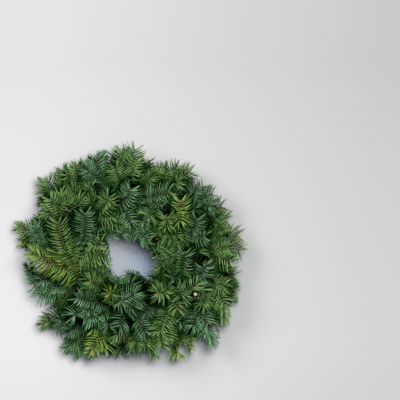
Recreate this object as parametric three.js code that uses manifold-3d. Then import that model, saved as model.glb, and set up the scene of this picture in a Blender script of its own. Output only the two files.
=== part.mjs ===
// Fresh evergreen wreath: fir sprays bound with wire to a straw ring, lying on a flat surface.
// Millimetres, +Z up, the ring's flat underside on z = 0.
import * as THREE from "three";
import Module from "manifold-3d";

// ---------------------------------------------------------------- driving dimensions
const RING_RADIUS = 92; // centre of the hole to the middle of the straw
const RING_SECTION = 20; // radius of the straw ring's section
const RING_SIDES = 12;
const RING_SEGMENTS = 32;
const WIRE_TURNS = 16;
const WIRE_SECTION = 0.8; // radius of the three-sided wire
const WIRE_SLACK = 2.8; // the wire stands off the straw beside its groove
const GROOVE = { width: 4, depth: 3, past: 14 }; // pressed by each turn into the straw's underside
const GAP = 0.2; // between pieces that rest on each other
const INNER_GAP = 0.6; // at the middle of a straight stem inside the ring's curve
const WIRE_GAP = 0.5;
const STEM_FOOT = 3; // stem radius where it is bound
const STEM_TIP = 2;
const BEHIND = { low: 8, high: 24 }; // degrees from where a low or high stem is bound to where it sets out
const HIGH_STEM = 45; // degrees round the section, above which a stem is high
const SLOT_COST = 0.5; // millimetres along the ring that a degree round its section is worth
const SHOOT_FOOT = 2.3;
const SHOOT_TIP = 1.7;
const BOUND_LENGTH = 14; // stretch of each stem under its turn of wire
const BEND_HEIGHT = 0.45; // of the bend in a stem, from where it is bound to its tip
const LEAST_BEND = RING_SECTION + 3 * STEM_FOOT; // from the bend to the middle of the straw
const MOST_LIFT = 40;
const LIFT_STEP = 1.5;
const STEM_SIDES = 4;
const SHOOT_SIDES = 3;
const BARE_LENGTH = 6; // stem without needles past the wire
const STEM_STEP = 9.6; // along a stem, from one whorl of needles to the next
const SHOOT_STEP = 8.6;
const SHOOT_LENGTHS = [30, 22]; // the longest that has room
const SHOOT_SLOPES = [0, 25, -25, 50, 75]; // degrees up from level, as there is room
const SHOOT_CURVE = { bend: 0.5, out: 0.35, onward: 0.2 }; // parts of a shoot's length to its bend and past it
const FIRST_SHOOT = 0.46; // along the stem, and how much further on the next one is
const NEXT_SHOOT = 0.16;
const BUD_LENGTH = 3;
const DEG = THREE.MathUtils.DEG2RAD;
const SHOOT_ANGLE = 42 * DEG;
const TWIST = 14 * DEG; // between whorls of needles, besides half a side
const NEEDLE_LENGTH = 24;
const NEEDLE_SPREAD = [0.86, 1.08]; // from the shortest to the longest, as parts of that
const END_PART = 0.85; // of a needle at the end of a shoot
const PAST_TIP = 10; // how far the end needles reach past the stem, seen from above
const STEM_CLEARANCE = 0.6; // least distance from stem to stem
const NEEDLE_CLEARANCE = 0.35; // least distance to another spray or the wire
const OWN_CLEARANCE = 0.05; // to needles and shoots of the same spray
const SHARED_EDGE = -0.01; // to a needle on the next face, which it meets along an edge
const STRAW_CLEARANCE = 1.2;
const HOLE_CENTRE = new THREE.Vector2(2, -2);
const HOLE_RADIUS = 33; // no needle reaches further in
const LOWEST = 0.8; // no spray reaches lower than this
const FOOT_LEAN = 62; // degrees between needle and stem, low on the stem, high on it, at its end
const TIP_LEAN = 44;
const END_LEAN = 24;
const PAST_END = 1.15; // the place of the end needles, where the stem's end is 1
const NEEDLE_SAMPLES = 8;
// Degrees more from the stem, degrees round it and part of the length, tried in this order.
const BENDS = [
  [0, 0, 1],
  [-10, 0, 1],
  [9, 0, 1],
  [0, 12, 0.97],
  [0, -12, 0.97],
  [-20, 0, 0.95],
  [-8, 16, 0.85],
  [-8, -16, 0.85],
  [14, 0, 0.8],
  [-24, 0, 0.8],
  [0, 0, 0.66],
  [-16, 0, 0.6],
];
const HALF_FLAT = Math.PI / RING_SIDES; // the section stands on a flat side, not on a corner
const RING_HEIGHT = RING_SECTION * Math.cos(HALF_FLAT); // of the section's centre
const SLOT_ANGLES = [15, 45, 75, 105, 135]; // corners of the section that stems are bound to

// Each spray: its colour, where it sets out from the ring and where its needles reach (x, y),
// how high the tip lies, which corner of the ring it is bound to, and its side shoots.
const SPRAYS = {
  outer_01: ["olive", [-119, 22], [-190, 42], 26, 15, 2],
  outer_02: ["green", [-106, 64], [-146, 132], 30, 15, 2],
  outer_03: ["olive", [-90, 84], [-119, 150], 26, 15, 1],
  outer_04: ["green", [-78, 93], [-96, 158], 45, 45, 2],
  outer_05: ["teal", [-48, 111], [-58, 172], 56, 45, 1],
  outer_06: ["teal", [-19, 120], [-12, 182], 28, 15, 2],
  outer_07: ["green", [-16, 120], [13, 188], 52, 45, 2],
  outer_08: ["olive", [23, 111], [41, 152], 28, 15, 2],
  outer_09: ["green", [40, 116], [114, 144], 40, 45, 2],
  outer_10: ["teal", [108, 84], [153, 106], 46, 45, 2],
  outer_11: ["green", [126, 72], [176, 57], 27, 15, 2],
  outer_12: ["olive", [131, 49], [200, 0], 34, 15, 2],
  outer_13: ["green", [135, 4], [186, -18], 50, 45, 1],
  outer_14: ["green", [143, -22], [186, -70], 27, 15, 2],
  outer_15: ["green", [140, -31], [170, -94], 54, 45, 1],
  outer_16: ["olive", [135, -66], [166, -122], 27, 15, 1],
  outer_17: ["green", [112, -93], [146, -160], 28, 15, 2],
  outer_18: ["teal", [117, -75], [141, -134], 55, 45, 1],
  outer_19: ["olive", [87, -111], [114, -170], 26, 15, 2],
  outer_20: ["yellow", [64, -120], [86, -185], 34, 15, 1],
  outer_21: ["green", [41, -110], [42, -184], 27, 15, 1],
  outer_22: ["green", [28, -102], [9, -178], 48, 45, 2],
  outer_23: ["dark", [-16, -116], [-12, -182], 27, 15, 1],
  outer_24: ["yellow", [-30, -116], [-68, -176], 50, 45, 2],
  outer_25: ["dark", [-73, -116], [-104, -176], 28, 15, 2],
  outer_26: ["olive", [-78, -84], [-150, -122], 28, 15, 2],
  outer_27: ["teal", [-90, -58], [-175, -60], 34, 15, 2],
  outer_28: ["yellow", [-90, -35], [-163, -4], 70, 45, 1],
  middle_01: ["teal", [-108, 13], [-168, 28], 54, 45, 1],
  middle_02: ["olive", [-108, -22], [-126, 60], 82, 75, 1],
  middle_03: ["green", [-100, 46], [-142, 98], 64, 45, 1],
  middle_04: ["dark", [-78, 22], [-76, 76], 96, 105, 1],
  middle_05: ["green", [-40, 76], [-34, 104], 90, 75, 1],
  middle_06: ["teal", [-7, 79], [6, 118], 84, 75, 1],
  middle_07: ["dark", [30, 92], [78, 110], 70, 75, 1],
  middle_08: ["yellow", [101, 40], [90, 98], 84, 75, 1],
  middle_09: ["olive", [72, 36], [64, 70], 82, 105, 1],
  middle_10: ["dark", [108, 16], [122, 66], 78, 75, 1],
  middle_11: ["dark", [92, -60], [98, 6], 80, 75, 1],
  middle_12: ["teal", [126, -58], [135, -14], 72, 45, 1],
  middle_13: ["green", [108, -102], [81, -56], 86, 75, 1],
  middle_14: ["green", [83, -98], [46, -146], 64, 45, 1],
  middle_15: ["teal", [-25, -80], [-4, -88], 98, 105, 1],
  middle_16: ["teal", [-2, -98], [-18, -136], 78, 75, 1],
  middle_17: ["yellow", [-30, -76], [-34, -62], 96, 105, 0],
  middle_18: ["teal", [-50, -88], [-96, -77], 80, 75, 1],
  middle_19: ["green", [-37, -70], [-74, -46], 82, 105, 1],
  middle_20: ["teal", [-51, -110], [-84, -118], 62, 45, 1],
  inner_01: ["green", [-98, 8], [-30, -8], 66, 105, 2],
  inner_02: ["dark", [-60, 44], [-32, 24], 58, 135, 1],
  inner_03: ["teal", [12, 70], [6, 26], 60, 105, 1],
  inner_04: ["olive", [55, -6], [25, 30], 56, 135, 1],
  inner_05: ["green", [84, -48], [64, 14], 74, 105, 2],
  inner_06: ["dark", [52, -66], [-6, -32], 44, 135, 0],
  inner_07: ["teal", [-34, -84], [-16, -40], 66, 105, 1],
  inner_08: ["green", [72, -76], [44, -66], 84, 105, 1],
  inner_09: ["green", [90, 32], [42, 22], 66, 105, 2],
  inner_10: ["green", [50, 84], [28, 54], 70, 105, 1],
};
const STRAW_COLOUR = 0xb79a5c;
const WIRE_COLOUR = 0x3d5a34;
const TONES = {
  teal: 0x3f6657,
  green: 0x4f6b3a,
  dark: 0x2c4332,
  yellow: 0x93984a,
  olive: 0x6f7440,
};

// ---------------------------------------------------------------- small helpers
let seed = 20417;
function random() {
  seed = (seed * 1664525 + 1013904223) % 4294967296;
  return seed / 4294967296;
}
const between = (low, high) => low + (high - low) * random();
const mix = THREE.MathUtils.lerp;
const vec = (x, y, z) => new THREE.Vector3(x, y, z);

const wasm = await Module();
wasm.setup();

// A closed triangle mesh as a solid that can be joined and cut.
function solid(points, faces) {
  const vertProperties = new Float32Array(points.flatMap((p) => [p.x, p.y, p.z]));
  const triVerts = new Uint32Array(faces.flat());
  return new wasm.Manifold(new wasm.Mesh({ numProp: 3, vertProperties, triVerts }));
}

function addNode(group, name, body, color) {
  const { vertProperties, triVerts } = body.getMesh();
  const geometry = new THREE.BufferGeometry();
  geometry.setAttribute("position", new THREE.BufferAttribute(vertProperties, 3));
  geometry.setIndex(new THREE.BufferAttribute(triVerts, 1));
  geometry.computeVertexNormals();
  const mesh = new THREE.Mesh(geometry, new THREE.MeshStandardMaterial({ color }));
  mesh.name = name;
  group.add(mesh);
}

// A point by the ring: angle round the hole, angle round the section, distance from its centre.
function byRing(theta, psi, distance) {
  const out = RING_RADIUS + distance * Math.cos(psi);
  return vec(out * Math.cos(theta), out * Math.sin(theta), RING_HEIGHT + distance * Math.sin(psi));
}

// The middle of the ring's section that is nearest to a point.
function ringMiddle(point) {
  return vec(point.x, point.y, 0).setLength(RING_RADIUS).setZ(RING_HEIGHT);
}

// ---------------------------------------------------------------- what is in the way
// A convex body for the tests: its points, face normals and edge directions.
function convex(points, normals, edges, owner) {
  const centre = vec(0, 0, 0);
  points.forEach((point) => centre.addScaledVector(point, 1 / points.length));
  const box = new THREE.Box3().setFromPoints(points);
  return { points, normals, edges, centre, box, owner };
}

function needleBody(a, b, c, apex, owner) {
  const points = [a, b, c, apex];
  const edges = [b.clone().sub(a), c.clone().sub(b), a.clone().sub(c)];
  edges.push(apex.clone().sub(a), apex.clone().sub(b), apex.clone().sub(c));
  const normals = [[0, 1], [3, 4], [4, 5], [5, 3]].map(([i, j]) => edges[i].clone().cross(edges[j]));
  return convex(points, normals, edges, owner);
}

function barBody(from, to, radius, owner) {
  const along = to.clone().sub(from).normalize();
  const side = Math.abs(along.z) < 0.9 ? vec(0, 0, 1) : vec(1, 0, 0);
  const across = side.clone().cross(along).normalize();
  const up = along.clone().cross(across);
  const points = [];
  for (const end of [from, to]) {
    for (const [i, j] of [[1, 1], [1, -1], [-1, 1], [-1, -1]]) {
      points.push(end.clone().addScaledVector(across, i * radius).addScaledVector(up, j * radius));
    }
  }
  const axes = [along, across, up];
  return convex(points, axes, axes, owner);
}

function apartAlong(axis, one, other, clearance) {
  const length = axis.length();
  if (length < 1e-9) return false;
  let lowOne = Infinity;
  let highOne = -Infinity;
  let lowOther = Infinity;
  let highOther = -Infinity;
  for (const point of one.points) {
    const reach = point.dot(axis);
    lowOne = Math.min(lowOne, reach);
    highOne = Math.max(highOne, reach);
  }
  for (const point of other.points) {
    const reach = point.dot(axis);
    lowOther = Math.min(lowOther, reach);
    highOther = Math.max(highOther, reach);
  }
  return Math.max(lowOther - highOne, lowOne - highOther) >= clearance * length;
}

// Two convex bodies are apart where some axis keeps them apart.
const trial = vec(0, 0, 0);
function apart(one, other, clearance) {
  if (apartAlong(trial.copy(one.centre).sub(other.centre), one, other, clearance)) return true;
  for (const axis of one.normals) if (apartAlong(axis, one, other, clearance)) return true;
  for (const axis of other.normals) if (apartAlong(axis, one, other, clearance)) return true;
  for (const edge of one.edges) {
    for (const otherEdge of other.edges) {
      if (apartAlong(trial.copy(edge).cross(otherEdge), one, other, clearance)) return true;
    }
  }
  return false;
}

// Everything laid so far, kept in cells so that only near bodies are tested.
const CELL = 20;
const cells = new Map();
function cellsOf(box, visit) {
  for (let i = Math.floor(box.min.x / CELL); i <= Math.floor(box.max.x / CELL); i += 1) {
    for (let j = Math.floor(box.min.y / CELL); j <= Math.floor(box.max.y / CELL); j += 1) {
      for (let k = Math.floor(box.min.z / CELL); k <= Math.floor(box.max.z / CELL); k += 1) {
        visit(`${i},${j},${k}`);
      }
    }
  }
}
function lay(body) {
  cellsOf(body.box, (key) => {
    if (!cells.has(key)) cells.set(key, []);
    cells.get(key).push(body);
  });
}
function near(body, reach) {
  const found = new Set();
  const box = body.box.clone().expandByScalar(reach);
  cellsOf(box, (key) => {
    for (const other of cells.get(key) ?? []) if (box.intersectsBox(other.box)) found.add(other);
  });
  return found;
}

// ---------------------------------------------------------------- where the stems are bound
const turnAngle = (turn, psi) => ((turn - psi / (2 * Math.PI)) * 2 * Math.PI) / WIRE_TURNS;
const slotsTaken = new Set();

// The nearest free place under a turn of wire, a little behind where the spray sets out.
function bind(setOut, psiWanted) {
  const behind = psiWanted > HIGH_STEM ? BEHIND.high : BEHIND.low;
  const wanted = Math.atan2(setOut[1], setOut[0]) + behind * DEG;
  let best = null;
  for (let turn = 0; turn < WIRE_TURNS; turn += 1) {
    for (const slot of SLOT_ANGLES) {
      const key = `${turn}/${slot}`;
      const turned = turnAngle(turn, slot * DEG) - wanted;
      const away = Math.abs(Math.atan2(Math.sin(turned), Math.cos(turned))) * RING_RADIUS;
      const cost = away + Math.abs(slot - psiWanted) * SLOT_COST;
      if (!slotsTaken.has(key) && (best === null || cost < best.cost)) best = { key, turn, slot, cost };
    }
  }
  slotsTaken.add(best.key);
  return best;
}

// ---------------------------------------------------------------- stems
// Under the wire, then over the ring and out to the tip.
function stemPath(place, setOut, end, lift) {
  const psi = place.slot * DEG;
  const theta = turnAngle(place.turn, psi);
  const innerGap = psi > Math.PI / 2 ? INNER_GAP : GAP;
  const seat = byRing(theta, psi, RING_SECTION + innerGap + STEM_FOOT);
  // Most stems run clockwise, seen from above, and a few that are bound too far on run back.
  const hand = Math.sin(theta - setOut.angle()) < 0 ? -1 : 1;
  const onward = vec(Math.sin(theta), -Math.cos(theta), 0).multiplyScalar(hand);
  const foot = seat.clone().addScaledVector(onward, -BOUND_LENGTH / 2);
  const free = seat.clone().addScaledVector(onward, BOUND_LENGTH / 2);
  const bend = vec(setOut.x, setOut.y, mix(free.z, end.z, BEND_HEIGHT) + lift);
  const middle = vec(bend.x, bend.y, 0).setLength(RING_RADIUS).setZ(RING_HEIGHT);
  const off = bend.clone().sub(middle);
  if (off.length() < LEAST_BEND) bend.copy(middle).add(off.setLength(LEAST_BEND));
  const path = new THREE.CurvePath();
  path.add(new THREE.LineCurve3(foot, free));
  path.add(new THREE.QuadraticBezierCurve3(free, bend, end));
  return path;
}

// Points and radii along a stem: the bound stretch, the bare one, then the whorls of needles.
function stemStations(path, length, bare, step, foot, tip) {
  const whorls = Math.max(2, Math.round((length - bare) / step));
  const stations = bare > 0 ? [0, BOUND_LENGTH, bare] : [0];
  for (let i = 1; i <= whorls; i += 1) stations.push(bare + ((length - bare) * i) / whorls);
  return stations.map((at) => {
    const u = Math.min(1, at / length);
    return { at: u, point: path.getPointAt(u), along: path.getTangentAt(u), radius: mix(foot, tip, u) };
  });
}

function bars(stations, owner, shoot) {
  return stations.slice(1).map((station, i) => {
    const end = station.point.clone();
    if (i === stations.length - 2) end.addScaledVector(station.along, BUD_LENGTH);
    return { ...barBody(stations[i].point, end, stations[i].radius, owner), shoot };
  });
}

function clearOfRing(stations) {
  return stations.slice(1).every(({ point, radius }) => {
    const away = point.distanceTo(ringMiddle(point));
    return away >= RING_SECTION + radius && point.z >= radius + LOWEST;
  });
}

function clearOfHole(point) {
  return Math.hypot(point.x - HOLE_CENTRE.x, point.y - HOLE_CENTRE.y) >= HOLE_RADIUS;
}

// The bound stretch lies under the wire by its place, so only the rest keeps clear of the wire.
function clearOfOthers(bodies, isStem) {
  return bodies.every((body, i) => {
    for (const other of near(body, STEM_CLEARANCE)) {
      const bound = isStem && i === 0 && other.owner === "binding_wire";
      if (other.owner !== body.owner && !bound && !apart(body, other, STEM_CLEARANCE)) return false;
    }
    return true;
  });
}

// A stem is lifted until it clears those already laid.
function layStem(spray) {
  const [, setOut, reach, height] = spray.row;
  const from = new THREE.Vector2(...setOut);
  const level = new THREE.Vector2(...reach).sub(from);
  level.setLength(level.length() - PAST_TIP).add(from);
  for (let lift = 0; lift <= MOST_LIFT; lift += LIFT_STEP) {
    const path = stemPath(spray.place, from, vec(level.x, level.y, height + lift), lift);
    const bare = BOUND_LENGTH + BARE_LENGTH;
    const stations = stemStations(path, path.getLength(), bare, STEM_STEP, STEM_FOOT, STEM_TIP);
    const bodies = bars(stations, spray.name, 0);
    if (clearOfRing(stations) && clearOfOthers(bodies, true)) {
      bodies.forEach(lay);
      return { path, stations, sides: STEM_SIDES };
    }
  }
  throw new Error(`no room for the stem of ${spray.name}`);
}

// A side shoot leaves the stem on the side and at the slope that has room, or is left out.
function layShoot(spray, at, side, index) {
  const root = spray.stem.path.getPointAt(at);
  const along = spray.stem.path.getTangentAt(at);
  const level = vec(-along.y, along.x, 0).normalize();
  const up = along.clone().cross(level);
  for (const length of SHOOT_LENGTHS) {
    for (const slope of SHOOT_SLOPES) {
      for (const hand of [side, -side]) {
        const out = level.clone().multiplyScalar(hand * Math.cos(slope * DEG));
        out.addScaledVector(up, Math.sin(slope * DEG));
        const start = along.clone().multiplyScalar(Math.cos(SHOOT_ANGLE));
        start.addScaledVector(out, Math.sin(SHOOT_ANGLE));
        const bend = root.clone().addScaledVector(start, length * SHOOT_CURVE.bend);
        const end = bend.clone().addScaledVector(start, length * SHOOT_CURVE.out);
        end.addScaledVector(along, length * SHOOT_CURVE.onward);
        const path = new THREE.QuadraticBezierCurve3(root, bend, end);
        const stations = stemStations(path, length, 0, SHOOT_STEP, SHOOT_FOOT, SHOOT_TIP);
        const bodies = bars(stations, spray.name, index);
        if (clearOfRing(stations) && clearOfOthers(bodies, false) && clearOfHole(end)) {
          bodies.forEach(lay);
          return { path, stations, sides: SHOOT_SIDES };
        }
      }
    }
  }
  return null;
}

// The stem as a few-sided tube: its points, its faces, and the faces that bear needles.
function tube({ stations, sides }) {
  const points = [];
  const faces = [];
  const buds = [];
  const bareStations = sides === STEM_SIDES ? 3 : 1;
  const first = stations[0];
  const normal = ringMiddle(first.point).sub(first.point);
  let twist = 0;
  stations.forEach(({ point, along, radius, at }, i) => {
    normal.projectOnPlane(along).normalize();
    const across = along.clone().cross(normal);
    const bearing = i >= bareStations;
    if (bearing) twist += Math.PI / sides + TWIST;
    const skipped = twist > (2 * Math.PI) / sides ? 1 : 0;
    twist -= (skipped * 2 * Math.PI) / sides;
    const ring = points.length;
    for (let k = 0; k < sides; k += 1) {
      const angle = twist + (k * 2 * Math.PI) / sides;
      const out = normal.clone().multiplyScalar(Math.cos(angle));
      out.addScaledVector(across, Math.sin(angle)).multiplyScalar(radius);
      points.push(point.clone().add(out));
    }
    if (i === 0) return;
    for (let k = 0; k < sides; k += 1) {
      const a = ring - sides + k;
      const b = ring - sides + ((k + 1) % sides);
      const c = ring + ((k + skipped) % sides);
      const d = ring + ((k + 1 + skipped) % sides);
      if (bearing) buds.push({ face: faces.length, at, station: i });
      if (bearing) buds.push({ face: faces.length + 1, at, station: i });
      faces.push([a, b, c], [c, b, d]);
    }
  });
  for (let k = 2; k < sides; k += 1) faces.push([0, k, k - 1]);
  const last = stations[stations.length - 1];
  const tip = points.push(last.point.clone().addScaledVector(last.along, BUD_LENGTH)) - 1;
  for (let k = 0; k < sides; k += 1) {
    buds.push({ face: faces.length, at: PAST_END, station: stations.length - 1 });
    faces.push([tip - sides + k, tip - sides + ((k + 1) % sides), tip]);
  }
  return { stations, points, faces, buds };
}

// ---------------------------------------------------------------- needles
function needleInBounds(body) {
  const apex = body.points[3];
  if (apex.z < LOWEST) return false;
  for (let part = 0; part <= 1; part += 1 / NEEDLE_SAMPLES) {
    const point = body.centre.clone().lerp(apex, part);
    if (point.distanceTo(ringMiddle(point)) < RING_SECTION + STRAW_CLEARANCE) return false;
    if (!clearOfHole(point)) return false;
  }
  return true;
}

function needleFits(body, spray, faceKeys) {
  if (!needleInBounds(body)) return false;
  for (const other of near(body, NEEDLE_CLEARANCE)) {
    if (other.keys && other.owner === spray.name) {
      const touching = other.keys.some((key) => faceKeys.includes(key));
      if (!apart(body, other, touching ? SHARED_EDGE : OWN_CLEARANCE)) return false;
    } else if (other.owner === spray.name) {
      if (other.shoot !== body.shoot && !apart(body, other, OWN_CLEARANCE)) return false;
    } else if (!apart(body, other, NEEDLE_CLEARANCE)) return false;
  }
  return true;
}

// A face of the stem is raised to a needle: straight out and onward, or bent clear, or shorter.
function raiseNeedle(spray, shoot, form, bud) {
  const corners = form.faces[bud.face];
  const [a, b, c] = corners.map((i) => form.points[i]);
  const keys = corners.map((i) => `${shoot}/${i}`);
  const root = a.clone().add(b).add(c).divideScalar(3);
  const before = form.stations[bud.station - 1];
  const after = form.stations[bud.station];
  const along = before.along.clone().add(after.along).normalize();
  const axis = before.point.clone().lerp(after.point, 0.5);
  const out = root.clone().sub(axis).projectOnPlane(along).normalize();
  const sideways = along.clone().cross(out);
  const ending = bud.at === PAST_END;
  const lean = ending ? END_LEAN : mix(FOOT_LEAN, TIP_LEAN, bud.at * bud.at);
  const length = NEEDLE_LENGTH * between(...NEEDLE_SPREAD) * (ending ? END_PART : 1);
  for (const [bend, swing, part] of BENDS) {
    const angle = (lean + bend) * DEG;
    const radial = out.clone().multiplyScalar(Math.cos(swing * DEG));
    radial.addScaledVector(sideways, Math.sin(swing * DEG));
    const way = radial.multiplyScalar(Math.sin(angle)).addScaledVector(along, Math.cos(angle));
    const apex = root.clone().addScaledVector(way, length * part);
    const body = { ...needleBody(a, b, c, apex, spray.name), shoot };
    if (needleFits(body, spray, keys)) {
      lay({ ...body, keys });
      return apex;
    }
  }
  return null;
}

function raiseNeedles(spray, form, shoot) {
  const faces = [];
  const points = form.points.slice();
  const raised = new Map();
  for (const bud of form.buds) {
    const apex = raiseNeedle(spray, shoot, form, bud);
    if (apex !== null) raised.set(bud.face, points.push(apex) - 1);
  }
  form.faces.forEach(([a, b, c], face) => {
    if (!raised.has(face)) {
      faces.push([a, b, c]);
      return;
    }
    const apex = raised.get(face);
    faces.push([a, b, apex], [b, c, apex], [c, a, apex]);
  });
  return solid(points, faces);
}

// ---------------------------------------------------------------- straw ring and wire
// The wire's corner at one angle of one turn, outside the ring or outside a stem bound there.
function wireCorner(turn, psi) {
  const slot = Math.round(psi / DEG);
  let distance = RING_SECTION + WIRE_GAP + WIRE_SECTION;
  if (slotsTaken.has(`${turn}/${slot}`)) distance += 2 * (STEM_FOOT + GAP);
  if (slot === -45 || slot === 225) distance += WIRE_SLACK;
  return byRing(turnAngle(turn, psi), psi, distance);
}

function wireRoute() {
  const route = [];
  const stepAngle = (2 * Math.PI) / RING_SIDES;
  for (let turn = WIRE_TURNS - 1; turn >= 0; turn -= 1) {
    for (let i = 0; i < RING_SIDES; i += 1) {
      const psi = HALF_FLAT - Math.PI / 2 + stepAngle * i;
      const corner = wireCorner(turn, psi);
      if (corner.z < WIRE_SECTION + GAP) corner.z = WIRE_SECTION + GAP;
      route.push(corner);
    }
  }
  return route;
}

// A closed three-sided loop of wire along the route; turns follow on from each other.
function wireSolid(route) {
  const points = [];
  const faces = [];
  route.forEach((point, i) => {
    const before = route[(i + route.length - 1) % route.length];
    const after = route[(i + 1) % route.length];
    const along = after.clone().sub(before).normalize();
    const out = point.clone().sub(ringMiddle(point)).projectOnPlane(along).normalize();
    const across = along.clone().cross(out);
    for (let k = 0; k < 3; k += 1) {
      const angle = Math.PI / 3 + (k * 2 * Math.PI) / 3;
      const way = out.clone().multiplyScalar(Math.cos(angle)).addScaledVector(across, Math.sin(angle));
      points.push(point.clone().addScaledVector(way, WIRE_SECTION));
    }
    const next = ((i + 1) % route.length) * 3;
    for (let k = 0; k < 3; k += 1) {
      const a = i * 3 + k;
      const b = i * 3 + ((k + 1) % 3);
      const c = next + k;
      const d = next + ((k + 1) % 3);
      faces.push([a, b, c], [c, b, d]);
    }
  });
  return solid(points, faces);
}

function strawRing(route) {
  const points = [];
  const faces = [];
  for (let i = 0; i < RING_SEGMENTS; i += 1) {
    const theta = (i * 2 * Math.PI) / RING_SEGMENTS;
    for (let k = 0; k < RING_SIDES; k += 1) {
      const psi = HALF_FLAT - Math.PI / 2 + (k * 2 * Math.PI) / RING_SIDES;
      points.push(byRing(theta, psi, RING_SECTION));
      const nextRow = ((i + 1) % RING_SEGMENTS) * RING_SIDES;
      const nextSide = (k + 1) % RING_SIDES;
      const a = i * RING_SIDES + k;
      const b = nextRow + k;
      faces.push([a, b, i * RING_SIDES + nextSide], [b, nextRow + nextSide, i * RING_SIDES + nextSide]);
    }
  }
  let ring = solid(points, faces);
  for (let turn = 1; turn <= WIRE_TURNS; turn += 1) {
    ring = ring.subtract(groove(route[turn * RING_SIDES - 1], route[(turn * RING_SIDES) % route.length]));
  }
  return ring;
}

// The groove under the ring that one turn of wire runs through.
function groove(from, to) {
  const way = to.clone().sub(from);
  const length = way.length() + GROOVE.past;
  const cutter = wasm.Manifold.cube([length, GROOVE.width, 2 * GROOVE.depth], true);
  const turned = cutter.rotate([0, 0, Math.atan2(way.y, way.x) / DEG]);
  return turned.translate([(from.x + to.x) / 2, (from.y + to.y) / 2, 0]);
}

// ---------------------------------------------------------------- the wreath
const group = new THREE.Group();
group.name = "evergreen_wreath";

const sprays = Object.entries(SPRAYS).map(([name, row]) => ({ name: `spray_${name}`, row }));
for (const spray of sprays) spray.place = bind(spray.row[1], spray.row[4]);

const route = wireRoute();
addNode(group, "straw_ring", strawRing(route), STRAW_COLOUR);
addNode(group, "binding_wire", wireSolid(route), WIRE_COLOUR);
route.forEach((point, i) => {
  lay(barBody(point, route[(i + 1) % route.length], WIRE_SECTION, "binding_wire"));
});

for (const spray of sprays) spray.stem = layStem(spray);
for (const spray of sprays) {
  spray.shoots = [];
  for (let i = 0; i < spray.row[5]; i += 1) {
    const at = FIRST_SHOOT + NEXT_SHOOT * i;
    const shoot = layShoot(spray, at, i % 2 ? 1 : -1, spray.shoots.length + 1);
    if (shoot !== null) spray.shoots.push(shoot);
  }
}
// The sprays that lie on top grow their needles first, and the others bend out of their way.
const fromTop = sprays.slice().sort((one, other) => other.row[3] - one.row[3]);
for (const spray of fromTop) {
  const forms = [spray.stem, ...spray.shoots].map(tube);
  const solids = forms.map((form, i) => raiseNeedles(spray, form, i));
  spray.body = solids.reduce((whole, piece) => whole.add(piece));
}
for (const { name, body, row } of sprays) addNode(group, name, body, TONES[row[0]]);

const box = new THREE.Box3().setFromObject(group);
const centre = box.getCenter(vec(0, 0, 0));
for (const mesh of group.children) mesh.geometry.translate(-centre.x, -centre.y, -box.min.z);

export default group;
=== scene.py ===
"""Looks of a fresh evergreen wreath: fir sprays bound with wire to a straw ring wound with floral tape.

Metres, +Z up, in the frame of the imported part: the ring's flat underside is on z = 0.
"""

import math

import bpy
import numpy as np
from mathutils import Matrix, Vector


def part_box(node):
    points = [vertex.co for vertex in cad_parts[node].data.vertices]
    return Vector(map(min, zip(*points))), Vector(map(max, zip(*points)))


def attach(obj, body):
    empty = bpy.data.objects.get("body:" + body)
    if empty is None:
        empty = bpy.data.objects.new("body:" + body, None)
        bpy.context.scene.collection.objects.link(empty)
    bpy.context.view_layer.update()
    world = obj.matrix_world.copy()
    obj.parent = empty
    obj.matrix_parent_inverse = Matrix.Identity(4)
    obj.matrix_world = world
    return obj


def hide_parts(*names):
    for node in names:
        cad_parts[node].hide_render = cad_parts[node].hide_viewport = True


MM = 0.001
UP = np.array([0.0, 0.0, 1.0])
SAME_PLACE = 0.001 * MM  # points of a solid this near are one
ASKEW = [0.31, 0.52, 0.79]  # a direction that no stem has
FIRST_SEED = 100

# The picture and the camera over it.
PIXEL = 1.77 * MM  # at the foliage's mean height
PICTURE_PIXELS = 400
PICTURE_CENTRE = (119.4 * MM, 90.4 * MM)
SEEN_HEIGHT = 45 * MM  # the foliage's mean height
LENS, SENSOR = 300, 36

# The ring, its tape and the wire.
RING_RADIUS = 92 * MM  # from the hole's centre to the middle of the straw
RING_HEIGHT = 19.3 * MM
TAPE_RADIUS = 19.2 * MM
TAPE_WRAPS = 46
TAPE_STEP = 0.55 * MM  # from one wrap up to the next
WRAP_STEPS = 7
TAPE_SIDES = 36
STRAW_BUMPS = 0.3 * MM
WIRE_RADIUS = 0.8 * MM
WIRE_SIDES = 8
WIRE_STEPS = 4  # for each step of the solid's
BED_DEPTH = 1.1 * MM  # from the wire's middle to the tape that it presses in
BED_WIDTH = 0.6 * MM  # to either side of the wire, before the tape rises
BED_SLOPE = 0.5
BED_LENGTH = 4 * MM  # round the straw, to where the tape is 1 mm higher

# Needles.
LEAST_NEEDLE = 6 * MM  # a lower peak of a solid isn't a needle
HALF_WIDTH = 0.82 * MM
HALF_THICKNESS = 0.5 * MM
BREADTH_SPREAD = (0.82, 1.12)
ALONG = np.array([0.0, 0.14, 0.52, 0.84])  # rings of a needle
WIDE = np.array([0.55, 0.92, 0.98, 0.56])
BEND = (-0.05, 0.015)  # mean and spread of its bow forward, in its lengths
RISE = (-0.02, 0.04)  # least and most bow upward
FACE_ROLL = 0.3
STEEP = 0.92  # a steeper needle faces back along its stem
LEAST_HEIGHT = 1.2 * MM  # of a needle's tip over the table
STRAW_GAP = 1 * MM
STRAW_PARTS = (0.45, 0.75, 1.0)  # along a needle, where it has to be clear of the straw
HOLLOW_PARTS = (0.6, 0.8, 1.0)  # and where it has to be low in a hollow

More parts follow.
